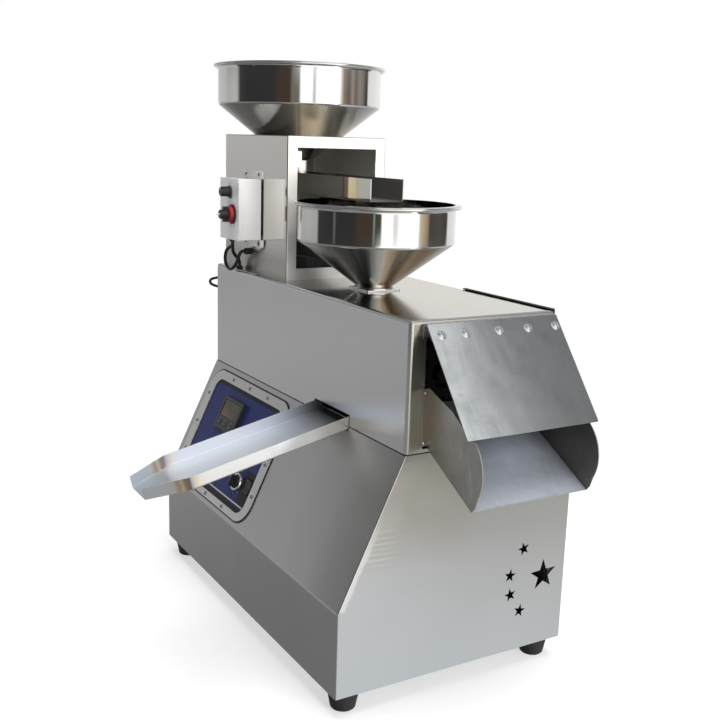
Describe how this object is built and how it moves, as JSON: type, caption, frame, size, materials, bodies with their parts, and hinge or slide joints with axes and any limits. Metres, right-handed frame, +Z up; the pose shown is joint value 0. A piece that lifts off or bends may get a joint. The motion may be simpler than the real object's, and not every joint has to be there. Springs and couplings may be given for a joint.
{
  "type": "screw oil press",
  "caption": "Floor-standing screw oil press in a sheet-steel cabinet with sloped control panel, oil spout, cake chute with hinged flap, feed funnel and vibrating feeder under a supply hopper.",
  "frame": {"origin": "centre of the bounding box at floor level, leads left out", "axes": "+Z up, -Y towards the operator and oil spout, +X towards the cake outlet"},
  "size_m": [0.9964, 0.7403, 1.097],
  "materials": {
    "cabinet_steel": "brushed stainless sheet",
    "polished_steel": "polished stainless sheet",
    "zinc_sheet": "dull bluish sheet",
    "machined_steel": "turned and milled steel",
    "cast": "painted grey casting",
    "motor_paint": "painted",
    "blue_plate": "navy enamel",
    "box_aluminium": "satin",
    "bright_ring": "polished",
    "black_rubber": "matt",
    "black_plastic": "matt moulded",
    "grey_plastic": "matt moulded",
    "red_plastic": "moulded",
    "heater_brass": "dull"
  },
  "bodies": {
    "cabinet": {"base_plate": "cabinet_steel", "front_panel": "cabinet_steel", "left_end_panel": "cabinet_steel", "right_end_panel": "cabinet_steel", "back_panel": "cabinet_steel", "hood_shell": "cabinet_steel", "hood_right_end": "cabinet_steel", "panel_frame": "cabinet_steel", "feed_hopper": "polished_steel", "feeder_tower": "polished_steel", "cake_chute": "zinc_sheet", "oil_spout": "zinc_sheet", "deck_plate": "machined_steel", "frame_posts": "machined_steel", "hinge_leaf": "machined_steel", "hinge_pin": "machined_steel", "oil_tray": "machined_steel", "feed_throat": "machined_steel", "press_barrel": "machined_steel", "press_head": "machined_steel", "bearings": "machined_steel", "leaf_springs": "machined_steel", "magnet": "machined_steel", "screws": "machined_steel", "bearing_housing": "cast", "gearbox_case": "cast", "gearbox_cover": "cast", "feeder_base": "cast", "motor": "motor_paint", "panel_face": "blue_plate", "box_case": "box_aluminium", "box_cover": "box_aluminium", "selector_bezel": "bright_ring", "feet": "black_rubber", "rear_edge_trim": "black_rubber", "v_belt": "black_rubber", "grommets": "black_rubber", "coil_lead": "black_rubber", "supply_lead": "black_rubber", "bond_lead": "black_rubber", "mains_inlet": "black_plastic", "controller": "black_plastic", "switch_plate": "red_plastic", "heater_bands": "heater_brass"},
    "flap": {"flap_plate": "zinc_sheet", "flap_leaf": "machined_steel", "flap_rivets": "machined_steel"},
    "worm": {"press_screw": "machined_steel", "main_gear": "machined_steel"},
    "pinion": {"pinion_shaft": "machined_steel"},
    "motor_rotor": {"motor_shaft": "machined_steel"},
    "tray": {"feeder_tray": "polished_steel"},
    "supply_hopper": {"upper_hopper": "polished_steel"},
    "feeder_dial": {"feeder_knob": "black_plastic"},
    "feeder_switch": {"switch_handle": "black_plastic"},
    "selector": {"selector_knob": "black_plastic"},
    "rocker_key": {"rocker": "black_plastic"},
    "set_key": {"key_set": "grey_plastic"},
    "down_key": {"key_down": "grey_plastic"},
    "up_key": {"key_up": "grey_plastic"}
  },
  "joints": [
    {"name": "flap_hinge", "type": "hinge", "parent": "cabinet", "child": "flap", "pos_m": [0.34825, 0.16115, 0.663], "axis": [0, -1, 0], "range_deg": [0, 110]},
    {"name": "worm_spin", "type": "hinge", "parent": "cabinet", "child": "worm", "pos_m": [0.04375, 0.13315, 0.553], "axis": [1, 0, 0], "continuous": true},
    {"name": "pinion_spin", "type": "hinge", "parent": "cabinet", "child": "pinion", "pos_m": [-0.25625, 0.22315, 0.553], "axis": [1, 0, 0], "continuous": true},
    {"name": "motor_spin", "type": "hinge", "parent": "cabinet", "child": "motor_rotor", "pos_m": [-0.25625, 0.22315, 0.158], "axis": [1, 0, 0], "continuous": true},
    {"name": "tray_shake", "type": "slide", "parent": "cabinet", "child": "tray", "axis": [0.9397, 0, 0.342], "range_m": [-0.0008, 0.0008], "stiffness_N_per_m": 30000, "deforming": ["leaf_springs"]},
    {"name": "supply_hopper_lift", "type": "slide", "parent": "cabinet", "child": "supply_hopper", "axis": [0, 0, 1], "range_m": [0, 0.2]},
    {"name": "feeder_dial_turn", "type": "hinge", "parent": "cabinet", "child": "feeder_dial", "pos_m": [-0.30325, -0.04385, 0.838], "axis": [0, -1, 0], "range_deg": [-135, 135]},
    {"name": "feeder_switch_turn", "type": "hinge", "parent": "cabinet", "child": "feeder_switch", "pos_m": [-0.29325, -0.05085, 0.792], "axis": [0, -1, 0], "range_deg": [0, 90]},
    {"name": "selector_turn", "type": "hinge", "parent": "cabinet", "child": "selector", "pos_m": [-0.13825, -0.09245, 0.26589], "axis": [0, -0.9048, 0.4258], "range_deg": [-45, 45]},
    {"name": "rocker_tilt", "type": "hinge", "parent": "cabinet", "child": "rocker_key", "pos_m": [-0.08925, -0.08079, 0.26482], "axis": [1, 0, 0], "range_deg": [-6, 6]},
    {"name": "set_key_press", "type": "slide", "parent": "cabinet", "child": "set_key", "axis": [0, 0.9048, -0.4258], "range_m": [0, 0.0008], "stiffness_N_per_m": 400},
    {"name": "down_key_press", "type": "slide", "parent": "cabinet", "child": "down_key", "axis": [0, 0.9048, -0.4258], "range_m": [0, 0.0008], "stiffness_N_per_m": 400},
    {"name": "up_key_press", "type": "slide", "parent": "cabinet", "child": "up_key", "axis": [0, 0.9048, -0.4258], "range_m": [0, 0.0008], "stiffness_N_per_m": 400}
  ],
  "couplings": [
    {"joint": "pinion_spin", "follows": "worm_spin", "ratio": -3.5},
    {"joint": "motor_spin", "follows": "worm_spin", "ratio": -8.75}
  ]
}
